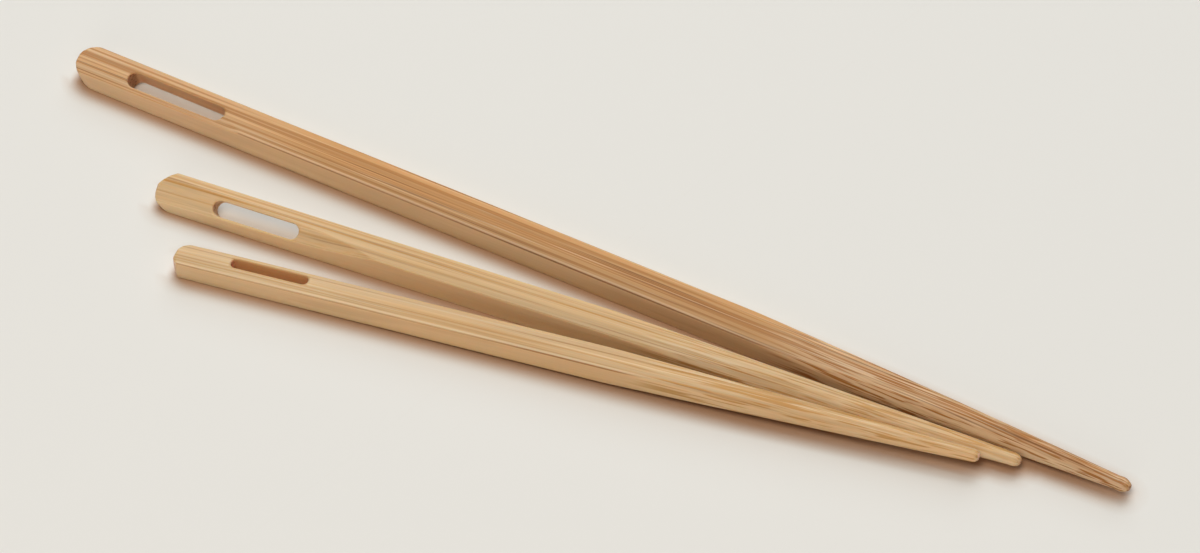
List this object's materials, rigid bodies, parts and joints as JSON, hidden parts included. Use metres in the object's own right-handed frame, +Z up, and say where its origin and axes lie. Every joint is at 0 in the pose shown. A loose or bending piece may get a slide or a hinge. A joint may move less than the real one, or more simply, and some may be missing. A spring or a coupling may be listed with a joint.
{
  "type": "yarn needle",
  "caption": "Squared bamboo yarn needles with a long eye in a thinned head and a blunt round taper, lying side by side.",
  "frame": {"origin": "centre of the base of the set's bounding box, on the table", "axes": "+Z up from the table, +X along the set from the heads towards the tips, +Y from the small needle towards the large one"},
  "size_m": [0.113, 0.0598, 0.0034],
  "materials": {
    "large_bamboo": "satin",
    "medium_bamboo": "satin",
    "small_bamboo": "satin"
  },
  "bodies": {
    "medium": {"medium_needle": "medium_bamboo"},
    "large": {"large_needle": "large_bamboo"},
    "small": {"small_needle": "small_bamboo"}
  },
  "joints": [
    {"name": "large_lift", "type": "slide", "parent": "medium", "child": "large", "axis": [0, 0, 1], "range_m": [0, 0.05]},
    {"name": "small_lift", "type": "slide", "parent": "medium", "child": "small", "axis": [0, 0, 1], "range_m": [0, 0.05]}
  ]
}
